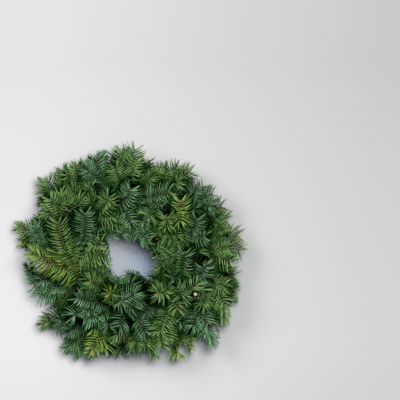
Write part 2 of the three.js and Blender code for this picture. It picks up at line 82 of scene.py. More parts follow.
# Needles of the solid's stems.
THINNER = 0.65 * MM  # bark than the solid's stems
TO_HALF = 6  # a face's centre is a sixth of its height from half of it
OPEN = math.radians(10)  # how much wider they stand from the stem than the solid's
SINK = 1.0 * MM  # from the solid's face to a needle's root
NEEDLES_EACH = 2  # for each face of the solid's stems
BARE_NEAR = 11 * MM  # a bare face as near as this to a needle bears needles too
BARE_LENGTH = 0.93  # of its needles, to the nearest one's
LEAST_LENGTH = 20 * MM
LENGTH_SPREAD = (0.96, 1.1)
ROW_FILL = 1.05
ROW_SPREAD = 0.025
ASIDE_SPREAD = 0.25 * MM
END_LEAN = math.radians(45)  # needles that stand closer to their stem than this are at its end
END_LEANS = (-0.25, 0.6)  # least and most added to it
END_EACH = 7  # for each face at a stem's end
END_BREADTH = 0.7

# Ranks of needles on either side of a level stem.
RANK_TURNS = np.radians([38, 70, 101, 132])  # from straight up
RANK_REACH = np.array([0.8, 0.95, 1.0, 0.95])
LEVEL_FROM, LEVEL_RANGE = 0.4, 0.25  # of a level stem's 1: where ranks begin, and on to full ranks
TURN_SPREAD = (0.05, 0.32)  # on level and on steep stems
LEAN_SPREAD = 0.03
SPRAY_ROLL = 0.2

# Painted shade, painted light and tone of foliage.
CANOPY_CELL = 5 * MM
CANOPY_CELLS = 92
COVER_BLURS = 5
CANOPY_PARTS = np.linspace(0.2, 1, 6)  # along a needle, where it adds to the canopy
BRIGHTEST = 1.95
DARKER = np.array([1.5, 1.0, 1.65])  # powers of a needle's painted shade for red, green and blue
# powers of a needle's painted highlight for red, green and blue
PALER = np.array([1.3, 1.0, 1.4])
SIDE_PAINTED_SHADE = ([-0.6, 0.5], [0.42, 1.15])  # how far up a needle stands from its stem, and its painted shade: lower needles darker
DEPTHS = np.array([0, 8, 22]) * MM  # under the foliage's top, and the painted light of needles there: deep ones in painted shade
DEPTH_PAINTED_SHADE = [1.95, 0.56, 0.04]
FOOT_PAINTED_LIGHT = ([1.5 * MM, 13 * MM], [0.7, 0.0])  # less painted shade near the foliage's foot, by height over the lowest foliage
OUTLINE_PAINTED_LIGHT = ([0.5, 0.93], [0.8, 0.0])  # less painted shade at the outline, by the share of foliage round about
BODY_PART = 0.6  # along a needle, where most of its painted light is read
BODY_SHARE = 0.6  # of its painted light that is read there, and the rest at its tip
SHADE_SPREAD = (-0.02, 0.2)  # mean and spread of a shade's logarithm
HUE_SPREAD = 0.07
RING_SHADES = np.array([0.2, 0.5, 1.05, 1.3])  # from foot to tip, with painted shade at the foot and lighter fresh tips
TIP_SHADE = 1.2
# Painted shade at a needle's edges and painted highlight along its midrib.
EDGE_PAINTED_SHADE, MIDRIB_PAINTED_HIGHLIGHT = 0.56, 1.32
UNDERSIDE_PALER = np.array([0.55, 0.6, 1.1])
FOOT_TINT = [1.5, 1.1, 0.8]

# Added side shoots.
SHOOT_BARE = 4 * MM  # a shoot's foot without needles
SHOOT_ENDS = 18  # needles at its end
SHOOT_END_INSET = 0.5 * MM
SHOOT_END_LEANS = (10, 48)
GOLDEN_TURN = 2.4  # from one end needle to the next
RANKS = 8  # of needles round a shoot
STEP_SPREAD = 0.2 * MM
SHOOT_SPREAD = (0.91, 1.09)
# Needles' length, lean at the shoot's foot and end, and step along it.
SHOOTS = {"full": (23 * MM, [72, 54], 4.1 * MM), "slim": (17.5 * MM, [60, 34], 2.9 * MM)}
SLIM_UNDER = 50  # a placed shoot with a lower tip is slim
LEAST_SHOOT = 26 * MM  # placed, with its end needles
END_REACH = 11 * MM  # of end needles past their shoot
TWIG_RADII = np.linspace(1.3, 0.8, 6) * MM
TWIG_SIDES = 6

# Where shoots grow, in cells of the table, and what they keep clear of.
GROUND_SPAN = 0.44
GROUND_CELL = 3 * MM
GROUND_COLUMNS = int(GROUND_SPAN / GROUND_CELL)
GROUND_CELLS = GROUND_COLUMNS * GROUND_COLUMNS
COVER_PARTS = np.linspace(0.1, 1, 7)  # along a solid's needle, where it covers a cell
SECTORS = np.linspace(-math.pi, math.pi, 49)
SECTOR_HALF = 0.09  # radians to either side
FULL_COVER = 5  # points of needles, where it isn't thin
THIN_INSET = 26 * MM  # from the outline to thin places
SHOOT_INSET = 22 * MM
SHOOT_LENGTHS = (30 * MM, 21 * MM)
SHOOT_LIFTS = (-0.12, 0.12, 0.4)  # how steeply a shoot may rise
SHOOT_FORWARD, SHOOT_ASIDE = 0.72, 0.7
SHOOT_SINK = 1.2 * MM
SHOOT_FREE_END = 6 * MM  # past a shoot's end, kept clear too
SHOOT_HEIGHTS = (9 * MM, 68 * MM)
SHOOT_STRAW_GAP = 3 * MM
SHOOT_STEM_GAP = 4.5 * MM
STEM_DEPTH = 2 * MM  # from a stem's face to its middle
SHOOTS_APART = 5 * MM
SHOOT_HALF_AREA = 15 * MM  # covered by a shoot's needles to either side
SHOOT_END_AREA = 10 * MM  # and past its end
COVERED = 0.45  # what is left of a cell's thinness under a new shoot
MOST_SHOOTS = 150
LEAST_GAIN = 7
LIKED = {"teal": 1, "green": 1, "dark": 1, "yellow": 0.3, "olive": 0.6}

# What the picture shows, in pixels: the hole, and then rounds in which no needle ends.
HOLE = [
    (113, 232), (117, 231), (120, 241), (131, 243), (139, 241), (141, 249),
    (149, 252), (148, 259), (150, 268), (148, 275), (138, 270), (129, 266),
    (121, 267), (126, 274), (120, 275), (113, 273), (116, 262), (110, 248),
]
NOTCHES = [
    (145, 357, 5), (163, 354, 6), (185, 351, 6), (201, 346, 6), (215, 330, 5), (49, 312, 4), (64, 332, 4),
]
# Dark hollows, where the outer part of no needle lies higher than HOLLOW_FLOOR and needles get painted
# shade.
HOLLOWS = [
    (157, 240, 5), (96.5, 186, 4), (141, 218, 3), (167, 209, 5), (70, 205, 4), (200, 257, 6),
    (130, 322, 4), (66, 267, 3.5), (74, 288, 4), (79, 322, 4), (152, 262, 3), (196, 294, 3.5),
]
HOLLOW_FLOOR = 42 * MM
# painted shade on needles in the hollows
HOLLOW_PAINTED_SHADE = 0.25
# Side shoots: their tips in pixels and the tips' heights in millimetres.
PLACED = {
    "outer_01": [(13, 225, 20), (17, 244, 16), (36, 214, 34)],
    "outer_02": [(42, 177, 30), (38, 196, 26), (40, 208, 24)],
    "outer_03": [(60, 167, 34)],
    "outer_04": [(77, 160, 40), (93, 156, 36)],
    "outer_05": [(106, 154, 34)],
    "outer_14": [(237, 291, 26), (233, 304, 24)],
    "outer_15": [(224, 326, 36)],
    "outer_17": [(206, 344, 26)],
    "outer_18": [(213, 348, 40)],
    "outer_19": [(193, 352, 36)],
    "outer_20": [(179, 360, 30)],
    "outer_21": [(157, 359, 30)],
    "outer_23": [(107, 356, 30), (122, 357, 26)],
    "outer_24": [(87, 357, 26)],
    "outer_25": [(62, 352, 26), (72, 357, 24)],
    "outer_26": [(38, 328, 24)],
    "outer_27": [(27, 262, 22)],
    "outer_28": [(28, 251, 60)],
    "middle_03": [(64, 190, 62)],
    "middle_08": [(181, 226, 82)],
    "middle_09": [(164, 224, 76)],
    "middle_13": [(201, 281, 70)],
    "middle_15": [(140, 290, 92), (144, 300, 86), (137, 281, 78), (137, 309, 84)],
    "inner_05": [(166, 262, 78)],
}
# One spray's needles are longer to the left of its stems than to the right.
COMB = {"spray": "outer_28", "reach": (1.42, 0.85)}
OLDER = {"outer_26": 0.55, "middle_17": 0.7, "middle_08": 0.78}  # shade of sprays of duller growth

CUT_STEM = {
    "spray": "middle_13",
    "pixel": (195.5, 293.5),
    "radius": 3.3 * MM,
    "over": 2 * MM,  # the foliage's mean top
    "least_rise": 12 * MM,
    "bark": (0.12, 0.09, 0.045),
    "face_sunk": 1 * MM,
    "face_length": 1.8 * MM,
    "face_radii": np.array([0.99, 1.02, 1.0, 0.9]),
    "sides": 12,
}
BUD = {
    "length": 3.8 * MM,
    "radius": 1.2 * MM,
    "radii": np.array([0.55, 0.95, 1.0, 0.9, 0.62, 0.3]),
    "sides": 7,
    "sunk": 2.2 * MM,
    "middle": (0, 1),  # lean and size of the middle bud
    "beside": (0.62, 0.78),  # and of the three round it
    "size_spread": (0.85, 1.1),
    "shade_spread": (0.75, 1.2),
    "askew": [0.2, 0.5, 0.8],  # a direction that no bud has
}
SHOOT_END_CORNERS = 4
SHOOT_END_SIZE = 4.4 * MM  # a shoot's end has its neighbours within this

# Needles' shaded colour, lit colour and share of pale underside.
TONES = {
    "teal": ((0.045, 0.122, 0.049), (0.108, 0.225, 0.100), 1.0),
    "green": ((0.056, 0.131, 0.032), (0.132, 0.247, 0.071), 0.8),
    "dark": ((0.036, 0.096, 0.034), (0.086, 0.180, 0.072), 0.9),
    "yellow": ((0.088, 0.170, 0.026), (0.185, 0.300, 0.062), 0.5),
    "olive": ((0.062, 0.135, 0.028), (0.134, 0.238, 0.062), 0.6),
}
STEMS = {
    "teal": (0.105, 0.135, 0.055),
    "green": (0.130, 0.155, 0.050),
    "dark": (0.085, 0.100, 0.042),
    "yellow": (0.38, 0.24, 0.045),
    "olive": (0.19, 0.165, 0.048),
}
ROUGHNESSES = (0.28, 0.5)  # of surfaces with patches of other roughness
NEEDLES, BARK, BUDS, CUT = range(4)  # places of a spray's materials

# The table and the light on it.
TABLE_SIZE = 8
TABLE_SPAN = (-0.16, 0.44)  # along X, from paler to greyer, a painted shade that falls off to the right
TABLE_DEPTH = (-0.16, 0.34)  # along Y, from front to back
TABLE_BACK = 0.8  # its painted shade at the back
TABLE_SHADES = [(0.0, (0.69, 0.68, 0.71)), (1.0, (0.555, 0.555, 0.56))]
HOLE_SPAN = (-0.02, 0.03)
HOLE_EDGE = (55 * MM, 75 * MM)  # where the painted blue-grey shade in the hole ends
# Painted shade in the hole: blue grey, darker to the right.
HOLE_PAINTED_SHADES = [(0.0, (0.52, 0.575, 0.66)), (1.0, (0.33, 0.40, 0.54))]
LAMPS = {"overhead": ((0.5, 0.5, 2.3), 1.0, 50), "window": ((-1.5, 1.0, 1.7), 1.2, 37)}  # place, size, watts
LAMP_COLOUR = (1.0, 0.98, 0.94)
SKY_COLOUR = (0.68, 0.84, 1.0, 1)
SKY_STRENGTH = 0.19

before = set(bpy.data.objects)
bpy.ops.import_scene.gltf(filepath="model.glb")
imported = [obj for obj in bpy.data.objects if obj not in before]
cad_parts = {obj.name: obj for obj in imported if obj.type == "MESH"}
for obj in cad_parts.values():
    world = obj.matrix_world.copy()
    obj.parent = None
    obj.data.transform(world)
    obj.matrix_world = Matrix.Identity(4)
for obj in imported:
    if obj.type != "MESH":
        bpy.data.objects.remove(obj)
bpy.context.view_layer.update()
low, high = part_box("straw_ring")
ring_middle = np.array([(low.x + high.x) / 2, (low.y + high.y) / 2, RING_HEIGHT])


# ---------------- arrays and meshes
def unit(vectors):
    return vectors / np.linalg.norm(vectors, axis=-1, keepdims=True)


def square_to(axes, vectors):
    """Unit vectors square to the axes, on the sides that the vectors point to."""
    return unit(vectors - axes * (vectors * axes).sum(1, keepdims=True))


def swung(turn, first, second):
    """Directions turned from the first towards the second."""
    return np.cos(turn)[:, None] * first + np.sin(turn)[:, None] * second


def angle_between(a, b):
    """The turn between two bearings, the short way round."""
    return np.abs((a - b + math.pi) % (2 * math.pi) - math.pi)


def from_core(places):
    """How far places are from the middle of the straw."""
    way = places - ring_middle
    return np.hypot(np.hypot(way[:, 0], way[:, 1]) - RING_RADIUS, way[:, 2])


def new_object(name, data):
    made = bpy.data.objects.new(name, data)
    bpy.context.scene.collection.objects.link(made)
    return made


class Gather:
    """Points and faces for one mesh, with a material and a tint for each part."""

    def __init__(self):
        self.points = []
        self.tints = []
        self.corners = []
        self.sizes = []
        self.slots = []
        self.count = 0

    def add(self, points, tints, faces, slot):
        """faces are index arrays, each of faces with one number of corners."""
        for group in faces:
            self.corners.append((group + self.count).ravel())
            self.sizes.append(np.full(len(group), group.shape[1]))
            self.slots.append(np.full(len(group), slot))
        self.points.append(points)
        self.tints.append(tints)
        self.count += len(points)

    def piece(self, name, materials, sharp):
        """The object, smooth where faces meet at less than sharp degrees."""
        points = np.concatenate(self.points)
        corners = np.concatenate(self.corners)
        sizes = np.concatenate(self.sizes)
        mesh = bpy.data.meshes.new(name)
        mesh.vertices.add(len(points))
        mesh.vertices.foreach_set("co", points.ravel())
        mesh.loops.add(len(corners))
        mesh.loops.foreach_set("vertex_index", corners)
        mesh.polygons.add(len(sizes))
        mesh.polygons.foreach_set("loop_start", np.cumsum(sizes) - sizes)
        mesh.update(calc_edges=True)
        mesh.polygons.foreach_set("material_index", np.concatenate(self.slots))
        mesh.polygons.foreach_set("use_smooth", np.ones(len(sizes), bool))
        colours = np.ones((len(points), 4))
        colours[:, :3] = np.concatenate(self.tints)
        tint = mesh.color_attributes.new("tint", "FLOAT_COLOR", "POINT")
        tint.data.foreach_set("color", colours.ravel())
        mesh.set_sharp_from_angle(angle=math.radians(sharp))
        for material in materials:
            mesh.materials.append(material)
        mesh.validate()
        return new_object(name, mesh)


def settle(piece, node):
    """The piece stands for the CAD node and moves with it."""
    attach(piece, "root")
    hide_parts(node)


def welded(node):
    """Points and triangles of a CAD node, with points in the same place made one."""
    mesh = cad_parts[node].data
    points = np.empty(3 * len(mesh.vertices))
    mesh.vertices.foreach_get("co", points)
    corners = np.empty(len(mesh.loops), int)
    mesh.loops.foreach_get("vertex_index", corners)
    points = points.reshape(-1, 3)
    whole = np.round(points / SAME_PLACE).astype(np.int64)
    _, first, place = np.unique(whole, axis=0, return_index=True, return_inverse=True)
    return points[first], place.ravel()[corners].reshape(-1, 3)


def smoothed(points, faces):
    """One round of subdivision, as points and four-sided faces."""
    mesh = bpy.data.meshes.new("core")
    mesh.from_pydata(points.tolist(), [], faces.tolist())
    core = new_object("core", mesh)
    core.modifiers.new("round", "SUBSURF").levels = 1
    finer = core.evaluated_get(bpy.context.evaluated_depsgraph_get()).to_mesh()
    places = np.array([v.co - v.normal * THINNER for v in finer.vertices])
    quads = np.array([list(p.vertices) for p in finer.polygons])
    bpy.data.objects.remove(core)
    bpy.data.meshes.remove(mesh)
    return places, quads


def lathe(base, axis, length, radii, sides):
    """A closed body round an axis, with its radii from foot to tip, as points and faces."""
    across = unit(np.cross(axis, ASKEW))
    other = np.cross(axis, across)
    turn = np.arange(sides) * 2 * math.pi / sides
    circle = swung(turn, across, other)
    steps = np.linspace(0, 1, len(radii) + 1)[:-1]
    rings = base + axis * length * steps[:, None, None] + circle * np.asarray(radii)[:, None, None]
    points = np.concatenate([rings.reshape(-1, 3), [base + axis * length]])
    k = np.arange(sides)
    after = (k + 1) % sides
    bands = []
    for row in np.arange(len(radii) - 1) * sides:
        bands.append(np.stack([row + k, row + after, row + sides + after, row + sides + k], 1))
    last = (len(radii) - 1) * sides
    tip = np.stack([last + k, last + after, np.full(sides, len(points) - 1)], 1)
    foot = k[::-1][None]
    return points, [np.concatenate(bands), tip, foot]


# ---------------- sprays
def read_spray(points, faces):
    """The peaks of a spray's solid, each a tip over three corners of its core, and the core's faces."""
    around = [[] for _ in points]
    for n, face in enumerate(faces):
        for corner in face:
            around[corner].append(n)
    peaks, gone = [], set()
    for tip, near in enumerate(around):
        if len(near) != 3:
            continue
        after = {}
        for n in near:
            face = list(faces[n])
            k = face.index(tip)
            after[face[(k + 1) % 3]] = face[(k + 2) % 3]
        first = min(after)
        base = [first, after[first], after[after[first]]]
        if np.linalg.norm(points[tip] - points[base].mean(0)) > LEAST_NEEDLE:
            peaks.append((tip, base))
            gone.update(near)
    bare = np.array([face for n, face in enumerate(faces) if n not in gone])
    return peaks, bare


def stem_way(corners):
    """Centres, outward normals, directions along the stem, of either sign, and heights of core triangles."""
    sides = np.linalg.norm(corners - np.roll(corners, -1, 1), axis=2)
    short = sides.argmin(1)
    rows = np.arange(len(corners))
    middle = (corners[rows, short] + corners[rows, (short + 1) % 3]) / 2
    rise = corners[rows, (short + 2) % 3] - middle
    normal = unit(np.cross(corners[:, 1] - corners[:, 0], corners[:, 2] - corners[:, 0]))
    return corners.mean(1), normal, unit(rise), np.linalg.norm(rise, axis=1)


def needle_faces(count):
    """Faces of needles whose points are rings of four corners and then a tip."""
    last = 4 * (len(ALONG) - 1)
    base = np.arange(count)[:, None] * (last + 5)
    quads, tips = [], []
    for k in range(4):
        after = (k + 1) % 4
        for row in range(0, last, 4):
            quads.append(base + [row + k, row + after, row + 4 + after, row + 4 + k])
        tips.append(base + [last + k, last + after, last + 4])
    quads.append(base + [3, 2, 1, 0])
    return [np.concatenate(quads), np.concatenate(tips)]


def needle_points(roots, tips, face_up, bow, breadth):
    """Each needle's rings of left edge, midrib, right edge and underside, and then its tip."""
    way = tips - roots
    t = ALONG[None, :, None]
    middle = roots[:, None] + way[:, None] * t + bow[:, None] * 4 * t * (1 - t)
    tangent = unit(way[:, None] + bow[:, None] * 4 * (1 - 2 * t))
    side = unit(np.cross(tangent, face_up[:, None]))
    top = np.cross(side, tangent)
    edge = side * (breadth[:, None] * WIDE)[..., None]
    rise = top * (HALF_THICKNESS * WIDE[None, :, None])
    rings = np.stack([middle - edge, middle + rise, middle + edge, middle - rise], 2)
    return np.concatenate([rings.reshape(len(roots), -1, 3), tips[:, None]], 1).reshape(-1, 3)


def needle_tints(rng, painted_light_and_tone, pale):
    """Each needle's own shade and painted light, with a browner foot in painted shade, a lighter tip, a
    painted highlight along the midrib, painted shade at the edges and a pale blue underside.
    """
    count = len(painted_light_and_tone)
    shade = np.minimum(painted_light_and_tone * rng.lognormal(*SHADE_SPREAD, count), BRIGHTEST)
    shade = painted_light_colour(shade)[:, None] * (1 + rng.normal(0, HUE_SPREAD, (count, 1, 3)))
    around = np.ones((1, 1, 4, 3))
    around[0, 0, [0, 2]] = EDGE_PAINTED_SHADE
    around[0, 0, 1] = MIDRIB_PAINTED_HIGHLIGHT
    around[0, 0, 3] = 1 + pale * UNDERSIDE_PALER
    rings = shade[..., None, :] * RING_SHADES[None, :, None, None] * around
    rings[:, 0] *= FOOT_TINT
    return np.concatenate([rings.reshape(count, -1, 3), shade * TIP_SHADE], 1).reshape(-1, 3)


def painted_light_colour(painted_light_and_tone):
    """Painted light: needles, bark and buds under 1 are darker and greener in painted shade, and over 1
    paler and greyer in painted highlight.
    """
    return painted_light_and_tone[:, None] ** np.where(painted_light_and_tone[:, None] < 1, DARKER, PALER)


def blurred(cells):
    """Each cell's mean with its eight neighbours."""
    for axis in (0, 1):
        cells = (cells + np.roll(cells, 1, axis) + np.roll(cells, -1, axis)) / 3
    return cells


class Canopy:
    """The top, the foot and the cover of the foliage in square cells of the table."""

    def __init__(self, sprays):
        self.top = np.zeros((CANOPY_CELLS, CANOPY_CELLS))
        self.foot = np.ones((CANOPY_CELLS, CANOPY_CELLS))
        for spray in sprays:
            roots, tips = spray.needles[:2]
            for part in CANOPY_PARTS:
                places = roots + (tips - roots) * part
                np.maximum.at(self.top, self.cells(places), places[:, 2])
                np.minimum.at(self.foot, self.cells(places), places[:, 2])
        self.cover = (self.top > 0).astype(float)
        self.top = blurred(self.top)
        for _ in range(COVER_BLURS):
            self.cover = blurred(self.cover)

    def cells(self, places):
        spot = (places[:, :2] / CANOPY_CELL).astype(int) + CANOPY_CELLS // 2
        spot = np.clip(spot, 0, CANOPY_CELLS - 1)
        return spot[:, 0], spot[:, 1]

    def painted_light_and_tone(self, places):
        """Painted light: more than 1 for foliage on top, down to little as painted shade for what lies deep
        or in the hollows.
        """
        spot = self.cells(places)
        deep = np.interp(self.top[spot] - places[:, 2], DEPTHS, DEPTH_PAINTED_SHADE)
        low = np.interp(places[:, 2] - self.foot[spot], *FOOT_PAINTED_LIGHT)
        outer = np.interp(self.cover[spot], *OUTLINE_PAINTED_LIGHT)
        return np.max([deep, low, outer], 0) * np.where(within(HOLLOWS, places), HOLLOW_PAINTED_SHADE, 1)


def frame_of(along):
    """Level to the right of a stem, and up and square to it."""
    level = unit(np.cross(along, UP))
    return level, np.cross(level, along)


def turned(ways, along):
    """How far directions are turned round their stems, from straight up."""
    level, over = frame_of(along)
    return np.arctan2((ways * level).sum(1), (ways * over).sum(1))


def combed(rng, along, turn, lean, roll):
    """Needles' directions, how far each faces out and their part of the full length.

    On a level stem they stand in ranks to its two sides, parted on top, and on a steep one all round.
    """
    rank = np.minimum((np.abs(turn) / math.pi * len(RANK_TURNS)).astype(int), len(RANK_TURNS) - 1)
    level, over = frame_of(along)
    comb = np.clip((np.hypot(along[:, 0], along[:, 1]) - LEVEL_FROM) / LEVEL_RANGE, 0, 1)
    turn = turn + (np.sign(turn) * RANK_TURNS[rank] - turn) * comb + roll
    turn += rng.normal(0, 1, len(turn)) * (TURN_SPREAD[0] * comb + TURN_SPREAD[1] * (1 - comb))
    # The ranks lie parallel where they are seen from over the stem.
    steeper = np.arctan(np.tan(lean) / np.sin(RANK_TURNS)[rank])
    lean = lean + (steeper - lean) * comb + rng.normal(0, LEAN_SPREAD, len(turn))
    out = swung(turn, over, level)
    return swung(lean, along, out), out, 1 + (RANK_REACH[rank] - 1) * comb


def facing(rng, ways, along):
    """The side of a flat needle that looks up, with some roll."""
    up = np.where(np.abs(ways[:, 2:]) > STEEP, -along, UP)
    up = square_to(ways, up)
    roll = rng.normal(0, FACE_ROLL, (len(ways), 1))
    return up * np.cos(roll) + np.cross(ways, up) * np.sin(roll)


def on_table(x, y):
    """The place under a pixel of the picture, for a thing at the foliage's mean height."""
    half = PICTURE_PIXELS / 2
    return np.array([(x - half) * PIXEL + PICTURE_CENTRE[0], (half - y) * PIXEL + PICTURE_CENTRE[1]])


def in_hole(places):
    """Which places lie over the hole that the picture shows."""
    corners = np.array([on_table(x, y) for x, y in HOLE])
    inside = np.zeros(len(places), bool)
    for a, b in zip(corners, np.roll(corners, -1, 0)):
        across = (a[1] > places[:, 1]) != (b[1] > places[:, 1])
        with np.errstate(divide="ignore", invalid="ignore"):
            side = (b[0] - a[0]) * (places[:, 1] - a[1]) / (b[1] - a[1]) + a[0]
            inside ^= across & (places[:, 0] < side)
    return inside


def within(rounds, places):
    """Which places lie over any of the rounds, given in pixels."""
    inside = np.zeros(len(places), bool)
    for x, y, radius in rounds:
        inside |= np.hypot(*(places[:, :2] - on_table(x, y)).T) < radius * PIXEL
    return inside


def clear(roots, tips):
    """Needles that stay above the table, out of the straw and out of the gaps that the picture shows."""
    good = (tips[:, 2] > LEAST_HEIGHT) & ~in_hole(tips)
    good &= ~within(NOTCHES, tips)
    for part in HOLLOW_PARTS:
        places = roots + (tips - roots) * part
        good &= (places[:, 2] < HOLLOW_FLOOR) | ~within(HOLLOWS, places)
    for part in STRAW_PARTS:
        good &= from_core(roots + (tips - roots) * part) > TAPE_RADIUS + STRAW_GAP
    return good


class Spray:
    """What a spray's solid gives: its needles, the bare faces between them and its stems' core."""

    def __init__(self, node, number):
        self.node = node
        self.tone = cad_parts[node].data.materials[0].name.split("_")[1]
        self.rng = np.random.default_rng(FIRST_SEED + number)
        self.points, faces = welded(node)
        peaks, self.bare = read_spray(self.points, faces)
        self.bases = np.array([base for _, base in peaks])
        self.tips = self.points[[tip for tip, _ in peaks]]
        self.centre, self.normal, self.along, self.height = stem_way(self.points[self.bases])
        way = self.tips - self.centre
        self.length = np.linalg.norm(way, axis=1)
        self.centre += self.along * self.height[:, None] / TO_HALF
        self.along *= np.sign((self.along * way).sum(1, keepdims=True))
        self.turn = turned(way, self.along)
        self.lean = np.arccos(np.clip((way * self.along).sum(1) / self.length, -1, 1)) + OPEN
        self.roll = self.rng.normal(0, SPRAY_ROLL)
        self.extra = []  # added side shoots, each a start, a direction, a length and a kind


def grown(spray, roots, along, turn, lean, lengths):
    """Roots, tips, stem directions and outward directions of needles."""
    ways, out, part = combed(spray.rng, along, turn, lean, spray.roll)
    return roots, roots + ways * (lengths * part)[:, None], along, out


def own_needles(spray):
    """Needles on the faces that bear the solid's own and on the bare faces between them, in even rows."""
    rng = spray.rng
    spots, out, onward, height = stem_way(spray.points[spray.bare])
    spots += onward * height[:, None] / TO_HALF
    gaps = np.linalg.norm(spots[:, None] - spray.centre[None], axis=2)
    near = np.flatnonzero(gaps.min(1) < BARE_NEAR)
    nearest = gaps.argmin(1)[near]
    out, onward = out[near], spray.along[nearest]

    centre = np.concatenate([spray.centre, spots[near]])
    normal = np.concatenate([spray.normal, out])
    along = np.concatenate([spray.along, onward])
    height = np.concatenate([spray.height, height[near]])
    turn = np.concatenate([spray.turn, turned(out, onward)])
    lean = np.concatenate([spray.lean, np.maximum(spray.lean[nearest], END_LEAN)])
    length = np.concatenate([spray.length, spray.length[nearest] * BARE_LENGTH])

    ending = lean < END_LEAN
    each = np.where(ending, END_EACH, NEEDLES_EACH)
    row = np.repeat(np.arange(len(each)), each)
    place = np.arange(len(row)) - (np.cumsum(each) - each)[row]
    shift = (place + 0.5) / each[row] - 0.5 + rng.normal(0, ROW_SPREAD, len(row))
    turn = turn[row] + np.where(ending[row], shift * math.pi / 2, 0)
    lean = lean[row] + np.where(ending[row], rng.uniform(*END_LEANS, len(row)), 0)
    aside = np.cross(normal, along)[row] * rng.normal(0, ASIDE_SPREAD, (len(row), 1))
    roots = centre[row] + along[row] * (height[row] * shift * ROW_FILL)[:, None] + aside - normal[row] * SINK
    lengths = np.maximum(length[row], LEAST_LENGTH) * rng.uniform(*LENGTH_SPREAD, len(row)) + SINK
    if spray.node.endswith(COMB["spray"]):
        lengths *= np.where(turn < 0, *COMB["reach"])
    return grown(spray, roots, along[row], turn, lean, lengths)


def shoot_needles(spray, start, way, length, kind):
    """Needles in ranks on an added side shoot, and a fan at its end."""
    reach, leans, step = SHOOTS[kind]
    rng = spray.rng
    at = np.repeat(np.arange(SHOOT_BARE, length, step), RANKS)
    turn = (np.arange(len(at)) % RANKS + 0.5) * 2 * math.pi / RANKS - math.pi
    lean = np.radians(np.interp(at / length, [0, 1], leans))
    at = np.concatenate([at, np.full(SHOOT_ENDS, length - SHOOT_END_INSET)])
    turn = np.concatenate([turn, (np.arange(SHOOT_ENDS) * GOLDEN_TURN) % (2 * math.pi) - math.pi])
    lean = np.concatenate([lean, np.radians(rng.uniform(*SHOOT_END_LEANS, SHOOT_ENDS))])
    along = np.tile(way, (len(at), 1))
    at = (at + rng.normal(0, STEP_SPREAD, len(at)))[:, None]
    lengths = reach * rng.uniform(*SHOOT_SPREAD, len(at))
    return grown(spray, start + way * at, along, turn, lean, lengths)


def all_needles(spray):
    """Those of the solid, between them and on added side shoots, where they have room."""
    groups = [own_needles(spray)] + [shoot_needles(spray, *shoot) for shoot in spray.extra]
    kept = [[part[clear(*group[:2])] for part in group] for group in groups]
    return [np.concatenate(parts) for parts in zip(*kept)]


def add_needles(fir, spray, canopy):
    rng = spray.rng
    roots, ends, along, out = spray.needles
    count = len(roots)
    ways = unit(ends - roots)
    lengths = np.linalg.norm(ends - roots, axis=1, keepdims=True)
    bend = square_to(ways, along) * rng.normal(*BEND, (count, 1))
    bow = lengths * (bend + UP * rng.uniform(*RISE, (count, 1)))
    breadth = HALF_WIDTH * rng.uniform(*BREADTH_SPREAD, count)
    breadth *= np.where((ways * along).sum(1) > math.cos(END_LEAN), END_BREADTH, 1)

    # Painted shade deep in the foliage and on lower ranks, times each spray's own tone.
    body = roots + (ends - roots) * BODY_PART
    painted_light_and_tone = canopy.painted_light_and_tone(body) * BODY_SHARE + canopy.painted_light_and_tone(ends) * (1 - BODY_SHARE)
    painted_light_and_tone *= np.interp(out[:, 2], *SIDE_PAINTED_SHADE) * OLDER.get(spray.node.removeprefix("spray_"), 1)

    points = needle_points(roots, ends, facing(rng, ways, along), bow, breadth)
    fir.add(points, needle_tints(rng, painted_light_and_tone, TONES[spray.tone][2]), needle_faces(count), NEEDLES)


def dress(spray, canopy):
    """The finished piece for a spray: needles, barked stems and buds."""
    fir = Gather()
    add_needles(fir, spray, canopy)
    core = np.concatenate([spray.bare, spray.bases])
    bark, quads = smoothed(spray.points, core)
    used = np.unique(quads)
    place = np.zeros(len(bark), int)
    place[used] = np.arange(len(used))
    # Bark and twigs get painted shade deeper in the foliage.
    fir.add(bark[used], painted_light_colour(canopy.painted_light_and_tone(bark[used])) * STEMS[spray.tone], [place[quads]], BARK)
    for start, way, length, _ in spray.extra:
        twig, faces = lathe(start, way, length, TWIG_RADII, TWIG_SIDES)
        fir.add(twig, painted_light_colour(canopy.painted_light_and_tone(twig)) * STEMS[spray.tone], faces, BARK)
    for tip, way in shoot_ends(spray.points, core):
        add_buds(fir, tip, way, spray.rng, canopy)
    if spray.node.endswith(CUT_STEM["spray"]):
        cut_stem(fir, spray, canopy)
    materials = [needles[spray.tone], bark_material, bud_material, cut_material]
    settle(fir.piece(spray.node.replace("spray", "fir"), materials, 60), spray.node)


def place_shoots(sprays):
    """The listed side shoots, each from its spray's nearest stem that leaves it some length."""
    by_name = {spray.node: spray for spray in sprays}
    for name, shoots in PLACED.items():
        spray = by_name["spray_" + name]
        starts = spray.centre - spray.normal * SINK
        for x, y, height in shoots:
            tip = np.array([*on_table(x, y), height * MM])
            lengths = np.linalg.norm(tip - starts, axis=1)
            nearest = np.argmin(np.where(lengths > LEAST_SHOOT, lengths, np.inf))
            length = lengths[nearest] - END_REACH
            kind = "slim" if height < SLIM_UNDER else "full"
            spray.extra.append((starts[nearest], unit(tip - starts[nearest]), length, kind))


def ground_cells(places):
    """Numbers of the table's cells under places."""
    spot = np.clip(((places[..., :2] + GROUND_SPAN / 2) / GROUND_CELL).astype(int), 0, GROUND_COLUMNS - 1)
    return spot[..., 0] * GROUND_COLUMNS + spot[..., 1]


def outline_reach(sprays):
    """How far the solids' needles reach from the ring's middle, in each direction of SECTORS."""
    tips = np.concatenate([spray.tips for spray in sprays]) - ring_middle
    bearings = np.arctan2(tips[:, 1], tips[:, 0])
    radii = np.hypot(tips[:, 0], tips[:, 1])
    return np.array([radii[angle_between(bearings, sector) < SECTOR_HALF].max() for sector in SECTORS])


